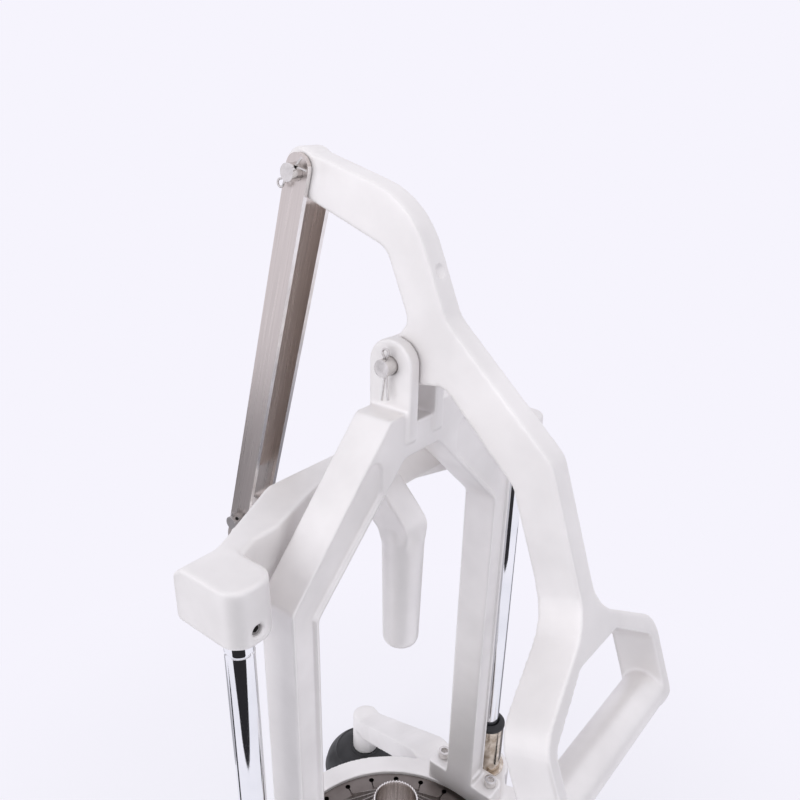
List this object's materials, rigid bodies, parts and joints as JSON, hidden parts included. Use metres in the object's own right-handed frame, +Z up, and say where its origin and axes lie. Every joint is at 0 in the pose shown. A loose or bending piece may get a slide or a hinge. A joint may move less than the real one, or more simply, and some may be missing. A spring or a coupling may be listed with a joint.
{
  "type": "onion blossom cutter",
  "caption": "Hand-lever kitchen press on splayed suction-cup legs; a guided carriage pushes an onion down over a core tube and a tent of radial blades to open it like a flower.",
  "frame": {"origin": "on the table, under the middle of the core tube", "axes": "+Z up, +X from the link towards the hand grip, the guide rods stand along Y"},
  "size_m": [0.332, 0.322, 0.5147],
  "materials": {
    "casting": "satin cast",
    "black_rubber": "matte",
    "plated_steel": "zinc plated",
    "blade_steel": "ground",
    "nickel": "nickel plated",
    "bush_bronze": "sintered",
    "link_steel": "brushed",
    "chrome": "mirror",
    "black_steel": "black oxide"
  },
  "bodies": {
    "stand": {"base_casting": "casting", "suction_cups": "black_rubber", "cup_studs": "plated_steel", "frame_arch": "casting", "frame_bolts": "plated_steel", "blade_ring": "blade_steel", "core_tube": "blade_steel", "slicing_blades": "blade_steel", "bearing_sleeves": "nickel", "bearing_bushes": "bush_bronze", "wiper_seals": "black_rubber", "retaining_rings": "nickel", "pivot_pin": "plated_steel", "pivot_cotter": "plated_steel"},
    "lever": {"lever_arm": "casting", "upper_link_pin": "plated_steel", "upper_cotter": "plated_steel"},
    "link": {"link_channel": "link_steel", "lower_link_pin": "plated_steel", "lower_cotter": "plated_steel"},
    "carriage": {"carriage_yoke": "casting", "guide_rods": "chrome", "clamp_screws": "black_steel"}
  },
  "joints": [
    {"name": "lever_swing", "type": "hinge", "parent": "stand", "child": "lever", "pos_m": [0, 0, 0.435], "axis": [0, -1, 0], "range_deg": [0, 66]},
    {"name": "link_pivot", "type": "hinge", "parent": "lever", "child": "link", "pos_m": [-0.054, 0, 0.5058], "axis": [0, -1, 0], "range_deg": [-53.6, 0]},
    {"name": "carriage_slide", "type": "slide", "parent": "stand", "child": "carriage", "axis": [0, 0, -1], "range_m": [0, 0.0982]}
  ],
  "couplings": [
    {"joint": "link_pivot", "follows": "lever_swing", "ratio": -0.81123},
    {"joint": "carriage_slide", "follows": "lever_swing", "m_per_rad": 0.08517}
  ]
}
